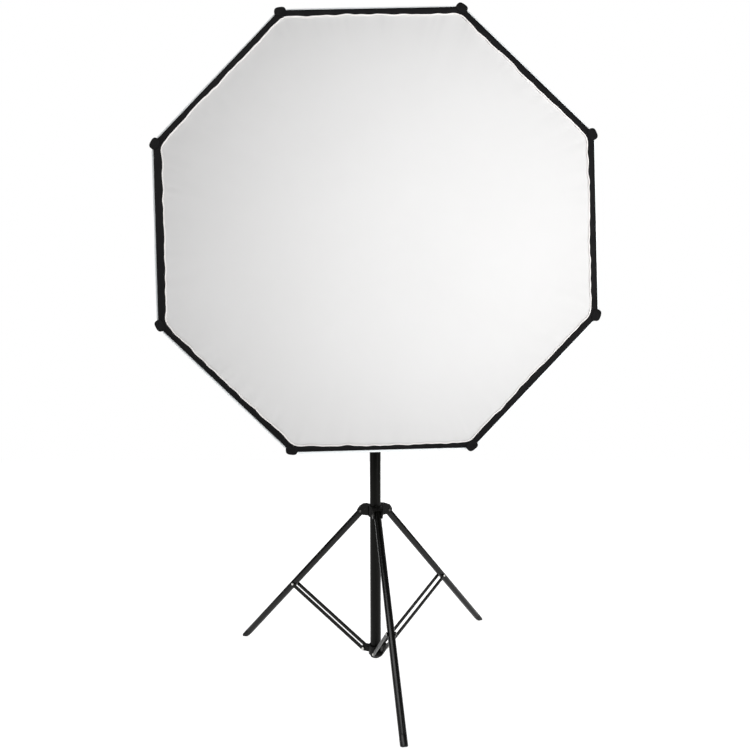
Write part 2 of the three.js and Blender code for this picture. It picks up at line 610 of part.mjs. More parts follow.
function shell() {
  const inside = ROD_RADIUS + 1.2;
  const outside = inside + SHELL_WALL;
  const shares = Array.from({ length: BOW_STEPS + 1 }, (_, i) => i / BOW_STEPS);
  const end = bow.getTangent(1);
  const frontDepth = RIM_DEPTH - RIM_THICKNESS - GAP;
  const toFront = ([r, z]) => [r + ((frontDepth - z) * end.x) / end.y, frontDepth];
  const backEdge = (distance) => [(SPEEDRING.outer + 1) / CORNER_SHARE, rodMiddle - distance];
  const outer = [backEdge(outside), ...offsetBow(outside, shares)];
  const inner = [backEdge(inside), ...offsetBow(inside, shares)];
  outer.push(toFront(outer.at(-1)));
  inner.push(toFront(inner.at(-1)));
  return octagonal([...outer, ...inner.reverse()]);
}

function rimBand() {
  const back = RIM_DEPTH - RIM_THICKNESS;
  const innerRadius = RIM_RADIUS - RIM_BAND / CORNER_SHARE;
  const band = octagonal([
    [innerRadius, back], [RIM_RADIUS, back], [RIM_RADIUS, RIM_DEPTH], [innerRadius, RIM_DEPTH],
  ]);
  const { over, inside, half, proud } = POCKET;
  const pockets = cornerAngles.map((angle) =>
    block(innerRadius - inside, RIM_RADIUS + over, -half, half, back, RIM_DEPTH + proud)
      .rotateZ(angle));
  return join(band, ...pockets);
}

function frontDiffuser() {
  const front = RIM_DEPTH - RIM_THICKNESS - DIFFUSER.behind;
  const back = front - DIFFUSER.thickness;
  const radius = RIM_RADIUS - DIFFUSER.inset;
  return octagonal([[0, back], [radius, back], [radius, front], [0, front]]);
}

function innerBaffle() {
  const { depth, radius, thickness, tieEnd, tieWidth } = BAFFLE;
  const front = depth + thickness;
  const sheet = octagonal([[0, depth], [radius, depth], [radius, front], [0, front]]);
  const ties = cornerAngles.map((angle) =>
    block(radius - 6, tieEnd, -tieWidth / 2, tieWidth / 2, depth, front).rotateZ(angle));
  return join(sheet, ...ties);
}

piece(box, "speedring", speedring(), "aluminium");
cornerAngles.forEach((angle, i) => piece(box, `rod_${i + 1}`, rod(angle), "steel"));
piece(box, "shell", shell(), "blackCloth");
piece(box, "rim_band", rimBand(), "blackCloth");
piece(box, "front_diffuser", frontDiffuser(), "whiteCloth");
piece(box, "inner_baffle", innerBaffle(), "whiteCloth");

export default root;
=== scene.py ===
"""The looks of a studio softbox on its light stand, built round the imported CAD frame. Metres, +Z up."""
import json
import math

import bmesh
import bpy
import numpy as np
from mathutils import Matrix, Vector
from mathutils.noise import noise


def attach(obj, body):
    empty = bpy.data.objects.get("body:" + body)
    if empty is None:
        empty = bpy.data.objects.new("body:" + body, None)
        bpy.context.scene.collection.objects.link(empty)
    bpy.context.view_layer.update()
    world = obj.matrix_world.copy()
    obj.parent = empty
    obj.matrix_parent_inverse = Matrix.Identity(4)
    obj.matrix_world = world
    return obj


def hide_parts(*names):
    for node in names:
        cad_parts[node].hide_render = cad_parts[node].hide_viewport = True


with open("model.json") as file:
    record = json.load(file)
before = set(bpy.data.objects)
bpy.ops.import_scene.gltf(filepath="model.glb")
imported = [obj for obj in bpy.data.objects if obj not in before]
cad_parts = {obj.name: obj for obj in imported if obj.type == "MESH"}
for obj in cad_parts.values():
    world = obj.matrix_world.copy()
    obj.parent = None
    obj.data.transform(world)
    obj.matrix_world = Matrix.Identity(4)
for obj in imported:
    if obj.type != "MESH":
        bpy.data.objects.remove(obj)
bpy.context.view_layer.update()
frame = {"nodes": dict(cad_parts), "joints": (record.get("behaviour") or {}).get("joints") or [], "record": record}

MM = 0.001
QUARTER = math.pi / 2
JOINTS = {j["name"]: j for j in frame["joints"]}
MOUNTS = {m["name"]: m for m in frame["record"]["mounts"]}
NODES = frame["nodes"]


# -------- camera
CAMERA_BACK = 2.3344  # ahead of the column
CAMERA_HEIGHT = 1.1386
CAMERA_PITCH = 0.0866  # radians down
CAMERA_ROLL = -0.0024
SENSOR = 36.0
LENS = 35.38


def make_camera():
    data = bpy.data.cameras.new("camera")
    data.sensor_width = SENSOR
    data.lens = LENS
    camera = bpy.data.objects.new("camera", data)
    camera.location = (0, -CAMERA_BACK, CAMERA_HEIGHT)
    look = Matrix.Rotation(QUARTER - CAMERA_PITCH, 4, "X") @ Matrix.Rotation(CAMERA_ROLL, 4, "Z")
    camera.rotation_euler = look.to_euler()
    bpy.context.scene.collection.objects.link(camera)
    bpy.context.scene.camera = camera


make_camera()


# -------- places in the frame
def basis(origin, x, y, z):
    """A matrix whose columns are the unit vectors x, y and z, placed at origin."""
    turn = Matrix((x, y, z)).transposed().to_4x4()
    return Matrix.Translation(origin) @ turn


def joint_place(name):
    """(position, axis) of a hinge, as vectors."""
    return Vector(JOINTS[name]["pos_m"]), Vector(JOINTS[name]["axis"]).normalized()


def corners(node, place):
    """The corners of a CAD node in the axes of a place."""
    inverse = np.array(place.inverted())
    world = np.array([v.co for v in NODES[node].data.vertices], float)
    return world @ inverse[:3, :3].T + inverse[:3, 3]


def span(node, place):
    """Lowest and highest coordinates of a CAD node in the axes of a place."""
    local = corners(node, place)
    return Vector(local.min(0)), Vector(local.max(0))


def reach(node, place):
    """Largest distance of a CAD node from a place's Z axis."""
    local = corners(node, place)
    return float(np.hypot(local[:, 0], local[:, 1]).max())


COLUMN = Matrix.Identity(4)


def leg_place(name):
    """Along a leg from its pivot down to its foot: Z runs towards the foot and X is the pivot's axis."""
    pivot, axis = joint_place(f"leg_{name}_fold")
    foot = Vector(MOUNTS[f"foot_{name}_pad"]["pos_m"])
    down = (foot - pivot).normalized()
    return basis(pivot, axis, down.cross(axis), down), (foot - pivot).length


def softbox_place():
    """At the middle of the rim plane: X right, Y up and Z forward, out of the softbox."""
    top = Vector(MOUNTS["rim_top"]["pos_m"])
    bottom = Vector(MOUNTS["rim_bottom"]["pos_m"])
    forward = joint_place("softbox_rotation")[1]
    up = (top - bottom).normalized()
    return basis((top + bottom) / 2, up.cross(forward), up, forward), (top - bottom).length / 2


def head_place():
    """On the softbox axis, at the speedring: X right, Y up and Z forward."""
    origin, forward = joint_place("softbox_rotation")
    right = joint_place("tilt")[1]
    return basis(origin, right, forward.cross(right), forward)


SOFTBOX, BAND_REACH = softbox_place()
HEAD = head_place()


# -------- materials
EVEN = (1, 1, 1)  # a noise with the same grain in every direction
DRAWN = (1, 1, 0.12)  # one that is drawn out along Z
WAVE_UNIT = 20  # a wave texture at scale 1 has a wave every 2 pi / 20


class Material:
    """A Principled material with helpers that wire procedural detail into it."""

    def __init__(self, name, color, roughness, metallic=0.0, **values):
        self.data = bpy.data.materials.new(name)
        self.data.use_nodes = True
        self.nodes = self.data.node_tree.nodes
        self.links = self.data.node_tree.links
        self.shader = self.nodes["Principled BSDF"]
        values |= {"Base_Color": (*color, 1.0), "Roughness": roughness, "Metallic": metallic}
        for socket, value in values.items():
            self.shader.inputs[socket.replace("_", " ")].default_value = value
        self.normal = None

    def add(self, kind, **values):
        made = self.nodes.new(kind)
        for key, value in values.items():
            if key in made.inputs:
                made.inputs[key].default_value = value
            else:
                setattr(made, key, value)
        return made

    def coordinates(self, kind, scale):
        source = self.add("ShaderNodeTexCoord")
        mapping = self.add("ShaderNodeMapping", Scale=scale)
        self.links.new(source.outputs[kind], mapping.inputs["Vector"])
        return mapping.outputs["Vector"]

    def noise(self, scale, detail, stretch):
        made = self.add("ShaderNodeTexNoise", Scale=scale, Detail=detail)
        self.links.new(self.coordinates("Object", stretch), made.inputs["Vector"])
        return made.outputs["Fac"]

    def mottle(self, scale, detail, dark, light):
        """Varies the base colour between two shades."""
        mix = self.add("ShaderNodeMix", data_type="RGBA", A=(*dark, 1.0), B=(*light, 1.0))
        self.links.new(self.noise(scale, detail, EVEN), mix.inputs["Factor"])
        self.links.new(mix.outputs["Result"], self.shader.inputs["Base Color"])

    def scuff(self, scale, detail, low, high, stretch=EVEN):
        """Varies the roughness between two values, over the middle of a noise."""
        ends = {"From Min": 0.3, "From Max": 0.7, "To Min": low, "To Max": high}
        spread = self.add("ShaderNodeMapRange", **ends)
        self.links.new(self.noise(scale, detail, stretch), spread.inputs["Value"])
        self.links.new(spread.outputs["Result"], self.shader.inputs["Roughness"])

    def grain(self, scale, detail, strength, distance, stretch=EVEN):
        """Raises the surface by a noise."""
        self.bump(self.noise(scale, detail, stretch), strength, distance)

    def bump(self, source, strength, distance):
        made = self.add("ShaderNodeBump", Strength=strength, Distance=distance)
        if self.normal is not None:
            self.links.new(self.normal, made.inputs["Normal"])
        self.links.new(source, made.inputs["Height"])
        self.normal = made.outputs["Normal"]
        self.links.new(self.normal, self.shader.inputs["Normal"])

    def weave(self, pitch, strength, distance):
        """Raises the surface by a plain weave: two crossed sets of threads, one over the other."""
        over = self.add("ShaderNodeMath", operation="MAXIMUM")
        for k, direction in enumerate("XY"):
            wave = self.add("ShaderNodeTexWave", wave_type="BANDS", bands_direction=direction,
                            wave_profile="SIN", Scale=2 * math.pi / pitch / WAVE_UNIT, Distortion=0.0)
            self.links.new(self.coordinates("UV", EVEN), wave.inputs["Vector"])
            self.links.new(wave.outputs["Fac"], over.inputs[k])
        self.bump(over.outputs[0], strength, distance)


MATERIALS = {}


def surface(*values, **sockets):
    """Makes a material with the name of the function under it, which wires in the detail."""
    def make(detail):
        made = Material(detail.__name__, *values, **sockets)
        detail(made)
        MATERIALS[detail.__name__] = made.data
        return detail
    return make


@surface((0.0035, 0.0035, 0.0028), 0.3, Specular_IOR_Level=0.11)
def black_tube(made):
    made.mottle(6, 4, (0.0026, 0.0026, 0.002), (0.0048, 0.0047, 0.0036))
    made.scuff(40, 5, 0.28, 0.4, DRAWN)
    made.grain(900, 2, 0.08, 0.0002)
    made.grain(160, 3, 0.05, 0.0003, (1, 1, 0.05))


@surface((0.0035, 0.0035, 0.003), 0.24, Specular_IOR_Level=0.27)
def leg_tube(made):
    made.mottle(6, 4, (0.0026, 0.0026, 0.0022), (0.0048, 0.0047, 0.004))
    made.scuff(40, 5, 0.22, 0.32, DRAWN)
    made.grain(900, 2, 0.06, 0.0002)


@surface((0.004, 0.004, 0.0034), 0.36, Specular_IOR_Level=0.14)
def black_casting(made):
    made.mottle(35, 5, (0.003, 0.003, 0.0025), (0.006, 0.0058, 0.005))
    made.scuff(220, 4, 0.34, 0.5)
    made.grain(1400, 3, 0.22, 0.0003)


@surface((0.009, 0.0088, 0.008), 0.36, 0.2, Specular_IOR_Level=0.2)
def black_strip(made):
    made.mottle(18, 4, (0.006, 0.006, 0.005), (0.014, 0.0135, 0.012))
    made.scuff(300, 3, 0.28, 0.44)
    made.grain(700, 2, 0.1, 0.0002)


@surface((0.7, 0.69, 0.66), 0.28, 1.0)
def bright_rivet(made):
    made.mottle(300, 3, (0.55, 0.54, 0.51), (0.8, 0.79, 0.76))
    made.scuff(500, 3, 0.2, 0.4)
    made.grain(900, 2, 0.1, 0.0002)


@surface((0.09, 0.088, 0.082), 0.42, 0.7)
def dull_steel(made):
    made.mottle(200, 3, (0.06, 0.058, 0.054), (0.13, 0.127, 0.12))
    made.scuff(400, 3, 0.32, 0.5)
    made.grain(900, 2, 0.1, 0.0002)


@surface((0.0045, 0.0045, 0.004), 0.3, Specular_IOR_Level=0.26)
def foot_cap(made):
    made.mottle(40, 4, (0.0045, 0.0045, 0.004), (0.009, 0.009, 0.0082))
    made.scuff(300, 4, 0.26, 0.36)
    made.grain(1200, 3, 0.12, 0.0002)


@surface((0.008, 0.008, 0.0078), 0.7, Specular_IOR_Level=0.2)
def matt_rubber(made):
    made.mottle(60, 5, (0.006, 0.006, 0.006), (0.013, 0.013, 0.012))
    made.scuff(250, 4, 0.66, 0.86)
    made.grain(1100, 4, 0.3, 0.0003)


@surface((0.009, 0.009, 0.0085), 0.42, Specular_IOR_Level=0.25)
def moulded_plastic(made):
    made.mottle(25, 3, (0.007, 0.007, 0.0068), (0.012, 0.012, 0.0115))
    made.scuff(400, 4, 0.38, 0.54)
    made.grain(1800, 3, 0.25, 0.0002)


@surface((0.6, 0.61, 0.62), 0.32, 1.0)
def machined_metal(made):
    made.mottle(12, 3, (0.56, 0.57, 0.58), (0.62, 0.63, 0.64))
    made.scuff(900, 3, 0.28, 0.38, (0.05, 1, 1))
    made.grain(1200, 2, 0.05, 0.0001, (0.03, 1, 1))


@surface((0.32, 0.32, 0.31), 0.38, 1.0)
def spring_steel(made):
    made.mottle(30, 3, (0.24, 0.24, 0.235), (0.38, 0.38, 0.37))
    made.scuff(240, 4, 0.3, 0.5)
    made.grain(700, 2, 0.08, 0.0002)


@surface((0.012, 0.012, 0.0125), 0.4, Specular_IOR_Level=0.3)
def painted_housing(made):
    made.mottle(14, 4, (0.009, 0.009, 0.0095), (0.016, 0.016, 0.0165))
    made.scuff(260, 5, 0.36, 0.5)
    made.grain(1500, 3, 0.35, 0.0003)


NYLON = (0.0045, 0.0045, 0.005)
NYLON_PALE = (0.0095, 0.0093, 0.0098)
NYLON_SHEEN = {"Specular_IOR_Level": 0.045, "Sheen_Weight": 0.01, "Sheen_Roughness": 0.4,
               "Sheen_Tint": (0.55, 0.56, 0.6, 1.0)}
RIM_SHADE = 0.9  # how light the rim's nylon is against the shell's


def shaded(color, light):
    return tuple(light * c for c in color)


def woven_nylon(made, light=1.0):
    made.mottle(9, 5, shaded(NYLON, light), shaded(NYLON_PALE, light))
    made.scuff(28, 4, 0.48, 0.66)
    made.weave(0.0011, 0.35, 0.00018)
    made.grain(22, 5, 0.25, 0.0012)


@surface(NYLON, 0.55, **NYLON_SHEEN)
def black_nylon(made):
    woven_nylon(made)


@surface(shaded(NYLON, RIM_SHADE), 0.55, **NYLON_SHEEN)
def rim_nylon(made):
    woven_nylon(made, RIM_SHADE)


@surface((0.62, 0.62, 0.63), 0.3, 0.9)
def silver_lining(made):
    made.mottle(30, 4, (0.5, 0.5, 0.51), (0.7, 0.7, 0.71))
    made.scuff(70, 4, 0.22, 0.42)
    made.weave(0.0009, 0.3, 0.00015)
    made.grain(90, 5, 0.4, 0.0012)


CLOTH = (1.01, 1.005, 1.003)
CLOTH_DULL = (0.972, 0.966, 0.962)
DIFFUSER_SHADE = 0.68
BAFFLE_SHADE = 0.78


def woven_cloth(made, light):
    made.mottle(3.2, 5, shaded(CLOTH_DULL, light), shaded(CLOTH, light))
    made.scuff(40, 3, 0.76, 0.9)
    made.weave(0.0013, 0.3, 0.00016)
    made.grain(6, 4, 0.1, 0.004)


@surface(shaded(CLOTH, DIFFUSER_SHADE), 0.82, Sheen_Weight=0.08, Sheen_Roughness=0.5)
def diffusion_cloth(made):
    woven_cloth(made, DIFFUSER_SHADE)


@surface(shaded(CLOTH, BAFFLE_SHADE), 0.82, Sheen_Weight=0.08, Sheen_Roughness=0.5)
def baffle_cloth(made):
    woven_cloth(made, BAFFLE_SHADE)


@surface((0.93, 0.9, 0.88), 0.7, Sheen_Weight=0.15, Sheen_Roughness=0.4)
def hem_cord(made):
    made.mottle(50, 4, (0.9, 0.86, 0.84), (0.97, 0.95, 0.93))
    made.scuff(120, 3, 0.62, 0.8)
    made.grain(700, 3, 0.4, 0.0004)


@surface((0.005, 0.005, 0.0052), 0.66, Specular_IOR_Level=0.07, Sheen_Weight=0.01, Sheen_Roughness=0.5)
def webbing(made):
    made.mottle(80, 4, (0.0035, 0.0035, 0.0038), (0.0085, 0.0085, 0.009))
    made.scuff(200, 3, 0.6, 0.82)
    made.weave(0.0019, 0.6, 0.0004)


# Painted highlight: a pale bluish white for the strip that stands for the bright fringe round the outside of the
# binding.
@surface((0.88, 0.91, 0.92), 0.6, Sheen_Weight=0.05)
def painted_rim_highlight(made):
    made.mottle(120, 4, (0.84, 0.88, 0.89), (0.91, 0.94, 0.95))
    made.scuff(200, 3, 0.42, 0.62)
    made.grain(900, 2, 0.3, 0.0003)


@surface((0.8, 0.79, 0.75), 0.22, Coat_Weight=0.3)
def glazed_ceramic(made):
    made.mottle(20, 3, (0.76, 0.75, 0.71), (0.84, 0.83, 0.79))
    made.grain(300, 2, 0.06, 0.0003)


@surface((0.78, 0.78, 0.76), 0.35)
def lamp_plastic(made):
    made.mottle(16, 3, (0.74, 0.74, 0.71), (0.81, 0.81, 0.79))
    made.scuff(200, 3, 0.3, 0.42)
    made.grain(900, 2, 0.1, 0.0002)


@surface((0.9, 0.89, 0.85), 0.45, Transmission_Weight=0.25, IOR=1.5)
def frosted_glass(made):
    made.mottle(14, 3, (0.86, 0.85, 0.8), (0.93, 0.92, 0.89))
    made.scuff(120, 3, 0.4, 0.55)
    made.grain(700, 2, 0.06, 0.0002)


# -------- mesh helpers
# A part is a pair of points and faces, before it becomes a piece.
def close_up(mesh):
    """Join points that lie together, and turn the faces of a closed piece outwards."""
    build = bmesh.new()
    build.from_mesh(mesh)
    bmesh.ops.remove_doubles(build, verts=build.verts, dist=0.001 * MM)
    if all(edge.is_manifold for edge in build.edges):
        bmesh.ops.recalc_face_normals(build, faces=build.faces)
    build.to_mesh(mesh)
    build.free()


def settle(name, mesh, material, body, nodes):
    """A piece from a mesh, that rides on a body and stands for CAD nodes."""
    mesh.materials.append(MATERIALS[material])
    piece = bpy.data.objects.new(name, mesh)
    bpy.context.scene.collection.objects.link(piece)
    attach(piece, body)
    if nodes:
        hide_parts(*nodes)
    return piece


def new_piece(name, part, material, body, nodes=(), place=COLUMN, sharp=32.0):
    """A piece from a part in the axes of a place, smooth up to the sharp angle in degrees."""
    points, faces = part
    mesh = bpy.data.meshes.new(name)
    mesh.from_pydata([tuple(p) for p in points], [], faces)
    mesh.transform(place)
    mesh.validate()
    close_up(mesh)
    mesh.polygons.foreach_set("use_smooth", [True] * len(mesh.polygons))
    mesh.set_sharp_from_angle(angle=math.radians(sharp))
    return settle(name, mesh, material, body, nodes)


def softbox_piece(name, part, material, nodes=(), sharp=32.0):
    return new_piece(name, part, material, "softbox", nodes, SOFTBOX, sharp)


def refined(name, node, material, body, bevel, segments=3):
    """A copy of a CAD casting with its seams welded and its real edges rounded."""
    mesh = bpy.data.meshes.new(name)
    build = bmesh.new()
    build.from_mesh(NODES[node].data)
    bmesh.ops.remove_doubles(build, verts=build.verts, dist=0.002 * MM)
    bmesh.ops.dissolve_limit(build, angle_limit=math.radians(1.0), verts=build.verts, edges=build.edges)
    build.to_mesh(mesh)
    build.free()
    for key in ("custom_normal", "sharp_edge", "sharp_face"):
        if key in mesh.attributes:
            mesh.attributes.remove(mesh.attributes[key])
    mesh.polygons.foreach_set("use_smooth", [True] * len(mesh.polygons))
    piece = settle(name, mesh, material, body, (node,))
    edges = piece.modifiers.new("edges", "BEVEL")
    edges.width = bevel
    edges.segments = segments
    edges.limit_method = "ANGLE"
    edges.angle_limit = math.radians(38.0)
    edges.harden_normals = True


def joined(parts):
    """Several parts as one."""
    points, faces = [], []
    for some, sides in parts:
        first = len(points)
        points.extend(some)
        faces.extend([[first + i for i in face] for face in sides])
    return points, faces


def moved(part, matrix):
    points, faces = part
    return [matrix @ Vector(p) for p in points], faces


def skin(rows, capped=False, closed=False):
    """A part over rows of points that each go once round: open, capped, or with its ends joined."""
    count = len(rows[0])
    points = [p for row in rows for p in row]
    faces = []
    for n in range(len(rows) if closed else len(rows) - 1):
        low, high = n * count, (n + 1) % len(rows) * count
        for k in range(count):
            j = (k + 1) % count
            faces.append([low + k, low + j, high + j, high + k])
    if capped:
        faces.append(list(reversed(range(count))))
        faces.append(list(range(len(points) - count, len(points))))
    return points, faces


def disc(rows, middle):
    """A sheet that faces +Z, from rows that go outwards round the point in its middle."""
    points, faces = skin(rows)
    faces = [list(reversed(face)) for face in faces]
    count = len(rows[0])
    faces += [[len(points), k, (k + 1) % count] for k in range(count)]
    return points + [middle], faces


def polar(angle, r, z):
    return (r * math.cos(angle), r * math.sin(angle), z)


def circle(point, side, other, radius, sides):
    """Points of a circle in the plane of two unit vectors."""
    angles = [2 * math.pi * k / sides for k in range(sides)]
    return [point + (side * math.cos(a) + other * math.sin(a)) * radius for a in angles]


def heading(line, i):
    """Direction of a line of points at its point i."""
    return (line[min(i + 1, len(line) - 1)] - line[max(i - 1, 0)]).normalized()


def sweep(points, radius, sides):
    """A round bar along a line of points, with flat ends."""
    line = [Vector(p) for p in points]
    side = heading(line, 0).orthogonal().normalized()
    rows = []
    for i, point in enumerate(line):
        ahead = heading(line, i)
        side = (side - ahead * side.dot(ahead)).normalized()
        rows.append(circle(point, side, ahead.cross(side), radius, sides))
    return skin(rows, capped=True)


def ring_sweep(points, radius, sides):
    """A round bar along a closed line of points that goes round Z."""
    line = [Vector(p) for p in points]
    rows = []
    for i, point in enumerate(line):
        ahead = (line[(i + 1) % len(line)] - line[i - 1]).normalized()
        side = (Vector((0, 0, 1)) - ahead * ahead.z).normalized()
        rows.append(circle(point, side, ahead.cross(side), radius, sides))
    return skin(rows, closed=True)


def rounded(outline, radius, closed=True, steps=3):
    """The outline with each real corner rounded by a curve that meets both of its sides."""
    made = []
    count = len(outline)
    for i, point in enumerate(outline):
        here = Vector(point)
        before = Vector(outline[i - 1]) - here
        after = Vector(outline[(i + 1) % count]) - here
        end_point = not closed and i in (0, count - 1)
        if end_point or min(before.length, after.length) < 1e-9 or before.angle(after) > math.radians(165):
            made.append(tuple(here))
            continue
        cut = min(radius, before.length * 0.45, after.length * 0.45)
        start = here + before.normalized() * cut
        end = here + after.normalized() * cut
        for k in range(steps + 1):
            t = k / steps
            made.append(tuple(start * (1 - t) ** 2 + here * 2 * t * (1 - t) + end * t * t))
    return made


def lathe(profile, sides, closed=False):
    """A profile of (radius, height) turned about Z. A point on the axis stays one point."""
    points, rows = [], []
    for r, z in profile:
        first = len(points)
        if r < 1e-7:
            points.append((0.0, 0.0, z))
            rows.append([first] * sides)
            continue
        points.extend(polar(2 * math.pi * i / sides, r, z) for i in range(sides))
        rows.append(list(range(first, first + sides)))
    faces = []
    for low, high in list(zip(rows, rows[1:])) + [(rows[-1], rows[0])] * closed:
        for i in range(sides):
            j = (i + 1) % sides
            ring = [low[i], low[j], high[j], high[i]]
            face = [v for k, v in enumerate(ring) if v != ring[k - 1]]
            if len(set(face)) >= 3:
                faces.append(face)
    return points, faces


def turned(name, profile, material, body, nodes, place=COLUMN, sides=64, closed=False,
           soften=0.6 * MM):
    """A turned piece, its edges eased by soften."""
    if soften:
        profile = rounded(profile, soften, closed)
    return new_piece(name, lathe(profile, sides, closed), material, body, nodes, place, 40.0)


def prism(outline, z0, z1, ease, steps=3):
    """A plate with a convex outline from z0 to z1, its rims eased by an inset arc."""
    angles = [QUARTER * k / steps for k in range(steps + 1)]
    arc = [(ease * (1 - math.sin(a)), ease * (1 - math.cos(a))) for a in angles]
    levels = [(inset, z0 + rise) for inset, rise in arc]
    levels += [(inset, z1 - rise) for inset, rise in reversed(arc)]
    centre = sum((Vector(p) for p in outline), Vector((0, 0))) / len(outline)
    rows = []
    for inset, z in levels:
        row = []
        for p in outline:
            away = Vector(p) - centre
            flat = centre + away * max(0.0, 1 - inset / max(away.length, 1e-9))
            row.append((flat.x, flat.y, z))
        rows.append(row)
    return skin(rows, capped=True)


def dome(radius, height, start, rings=5):
    """Profile of a low dome that stands on the height start, from its edge to the axis."""
    angles = [QUARTER * k / rings for k in range(rings)]
    return [(radius * math.cos(a), start + height * math.sin(a)) for a in angles] + [(0.0, start + height)]


# -------- the stand
FIT = 0.35 * MM  # gap between pieces that meet


def make_tube(node, body, material, wall, place=COLUMN, sides=64, soften=0.5 * MM):
    """A round tube in place of a CAD node. Returns its radius and the height of its end."""
    low, high = span(node, place)
    r = reach(node, place)
    profile = [(r - wall, low.z), (r, low.z), (r, high.z), (r - wall, high.z)]
    turned(node + "_smooth", profile, material, body, (node,), place, sides, True, soften)
    return r, high.z


def make_plug():
    """The rubber plug in the column's lower end: a head with an eased edge, and a stem in the tube."""
    low, high = span("bottom_plug", COLUMN)
    r = reach("bottom_plug", COLUMN)
    stem = r - 1.9 * MM
    seat = low.z + 6.6 * MM
    profile = [(0, low.z), (0.6 * r, low.z), (0.88 * r, low.z + 1.5 * MM), (r, low.z + 4.2 * MM),
               (r, seat), (stem, seat), (stem, high.z), (0, high.z)]
    turned("bottom_plug_smooth", profile, "matt_rubber", "base", ("bottom_plug",),
           soften=0.9 * MM)


def make_stud():
    """The stud on the stand's top: a spigot in the tube, a flange, and a pin with a groove for the clamp."""
    low, high = span("top_stud", COLUMN)
    tube_end = span("top_tube", COLUMN)[1].z
    flange = reach("top_stud", COLUMN)
    spigot, pin, groove = 10.9 * MM, 7.95 * MM, 5.95 * MM
    flange_top = tube_end + 6 * MM
    profile = [(0, low.z), (spigot, low.z), (spigot, tube_end + FIT), (flange, tube_end + FIT),
               (flange, flange_top), (pin, flange_top), (pin, high.z - 36 * MM), (groove, high.z - 34 * MM),
               (groove, high.z - 20 * MM), (pin, high.z - 18 * MM), (pin, high.z), (0, high.z)]
    turned("top_stud_smooth", profile, "machined_metal", "top_section", ("top_stud",))


def make_column():
    make_tube("base_tube", "base", "black_tube", 1.5 * MM)
    make_tube("middle_tube", "middle_section", "black_tube", 1.3 * MM)
    make_tube("top_tube", "top_section", "black_tube", 1.2 * MM)
    make_plug()
    make_stud()


def cast(node, body, bevel=1 * MM, segments=3):
    name = node.removesuffix("_collar") + "_casting"
    refined(name, node, "black_casting", body, bevel, segments)


def make_collars():
    cast("shoulder_collar", "shoulder", 1.6 * MM, 4)
    cast("base_collar", "base", 1.4 * MM, 4)
    cast("base_lock_collar", "base")
    cast("middle_lock_collar", "middle_section")


def headed_pin(node, body, place, material):
    """A rivet across a clevis, along the place's X axis: a plain shank with a dome on each end."""
    low, high = span(node, place)
    along = place @ Matrix.Rotation(QUARTER, 4, "Y")
    shank, rim, rise = 3.0 * MM, 0.5 * MM, 1.9 * MM
    grip = high.x - rim - rise
    head = (high.z - low.z) / 2
    upper = [(shank, grip), (head, grip)] + dome(head, rise, grip + rim)
    lower = [(r, -z) for r, z in reversed(upper)]
    turned(node + "_domed", lower + upper, material, body, (node,), along, 32, soften=0)


def make_leg(name):
    place, length = leg_place(name)
    leg, foot = f"leg_{name}", f"foot_{name}"
    wall, sides = 1.5 * MM, 48
    r, end = make_tube(leg, leg, "leg_tube", wall, place, sides, 0.7 * MM)

    # The rubber foot: a plug in the tube, and a head that the floor has worn flat.
    start = span(foot, place)[0].z
    plug = r - wall - FIT
    profile = [(0, start), (plug, start), (plug, end + FIT), (r, end + FIT), (r, length - 6 * MM),
               (r, length + 3.2 * MM), (r - 2.2 * MM, length + 5.6 * MM), (0, length + 6 * MM)]
    points, faces = moved(lathe(rounded(profile, 0.9 * MM, False), sides), place)
    for point in points:
        point.z = max(point.z, 0.0)
    new_piece(f"{foot}_moulded", (points, faces), "foot_cap", leg, (foot,))
    headed_pin(f"leg_pin_{name}", "shoulder", place, "dull_steel")


def bar_outline(half, length, start=0.0, count=12):
    """A flat bar with round ends along Y, from the middle of one end at start to the other at length."""
    upper = [(half * math.cos(a), half * math.sin(a)) for a in np.linspace(0, math.pi, count)]
    return [(-x, start - y) for x, y in upper] + [(x, length + y) for x, y in upper]


LEG_SHARE = 0.5625  # where a strut meets its leg, on the way from the leg's pivot to the middle of its foot
BAR_PLACE = 13 * MM  # from the middle of a strut to the middle of each of its two bars


def make_strut(name):
    """Two flat bars with a pressed rib each, a rivet each at the leg, and a pin at the base."""
    pivot, axis = joint_place(f"strut_{name}_fold")
    leg = joint_place(f"leg_{name}_fold")[0]
    foot = Vector(MOUNTS[f"foot_{name}_pad"]["pos_m"])
    reach_up = leg.lerp(foot, LEG_SHARE) - pivot
    length = reach_up.length
    along = reach_up.normalized()
    place = basis(pivot, along.cross(axis), along, along.cross(axis).cross(along))
    thick, rib_margin = 2.5 * MM, 18 * MM
    inner = BAR_PLACE - thick / 2
    outer = inner + thick
    plate = prism(bar_outline(6 * MM, length), inner, outer, 0.5 * MM)
    rib_line = bar_outline(1.9 * MM, length - rib_margin, rib_margin)
    rib = prism(rib_line, outer - 0.3 * MM, outer + 0.55 * MM, 0.45 * MM)
    shank, tip, head = 2.2 * MM, -thick - 0.3 * MM, 4 * MM
    rivet = lathe([(0, tip), (shank, tip), (shank, 0), (head, 0)] + dome(head, 1.2 * MM, 0.4 * MM), 28)
    rivet = moved(rivet, Matrix.Translation((0, length, outer)))
    body = f"strut_{name}"
    for letter in "ab":
        node = f"strut_bar_{name}_{letter}"
        mirror = Matrix.Scale(1 if span(node, place)[1].z > 0 else -1, 4, (0, 0, 1))
        bar = moved(joined([plate, rib]), mirror)
        new_piece(node + "_pressed", bar, "black_strip", body, (node,), place)
        new_piece(f"strut_rivet_{name}_{letter}", moved(rivet, mirror), "bright_rivet", body, place=place)
    up = Vector((0, 0, 1))
    level = basis(pivot, axis, up.cross(axis), up)
    headed_pin(f"strut_pin_{name}", "base", level, "bright_rivet")


